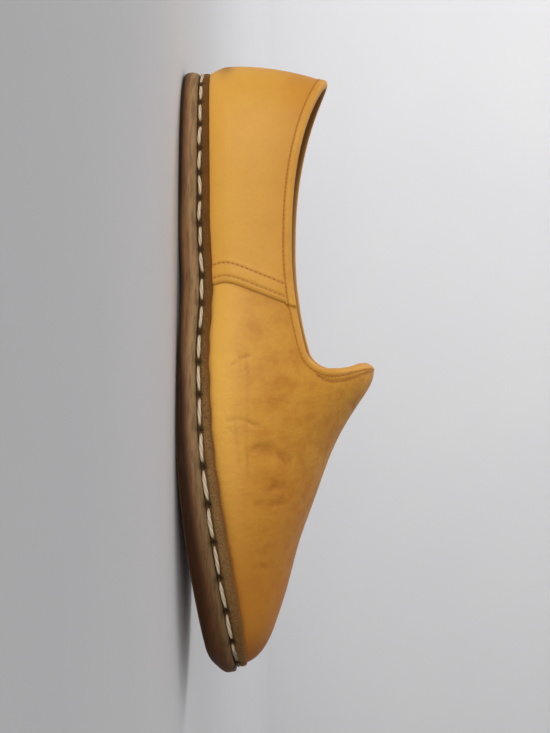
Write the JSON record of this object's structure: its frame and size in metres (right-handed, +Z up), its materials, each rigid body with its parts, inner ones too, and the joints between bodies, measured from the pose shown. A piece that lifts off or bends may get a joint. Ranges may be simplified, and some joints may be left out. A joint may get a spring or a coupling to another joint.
{
  "type": "loafer",
  "caption": "Slip-on loafer for the right foot: hollow leather upper with lapped quarters and a turned collar rim, on a flat leather sole with a stitched welt.",
  "frame": {"origin": "on the floor under the middle of the shoe's length and width", "axes": "+X towards the toe, +Y towards the inner side of the foot, +Z up"},
  "size_m": [0.2818, 0.0962, 0.0898],
  "materials": {
    "sole_leather": "matt",
    "welt_suede": "suede",
    "insole_leather": "matt",
    "upper_leather": "satin",
    "quarter_leather": "satin",
    "rim_leather": "satin"
  },
  "bodies": {
    "root": {"outsole": "sole_leather", "welt": "welt_suede", "insole": "insole_leather", "upper": "upper_leather", "quarter": "quarter_leather", "collar_rim": "rim_leather"}
  },
  "joints": []
}
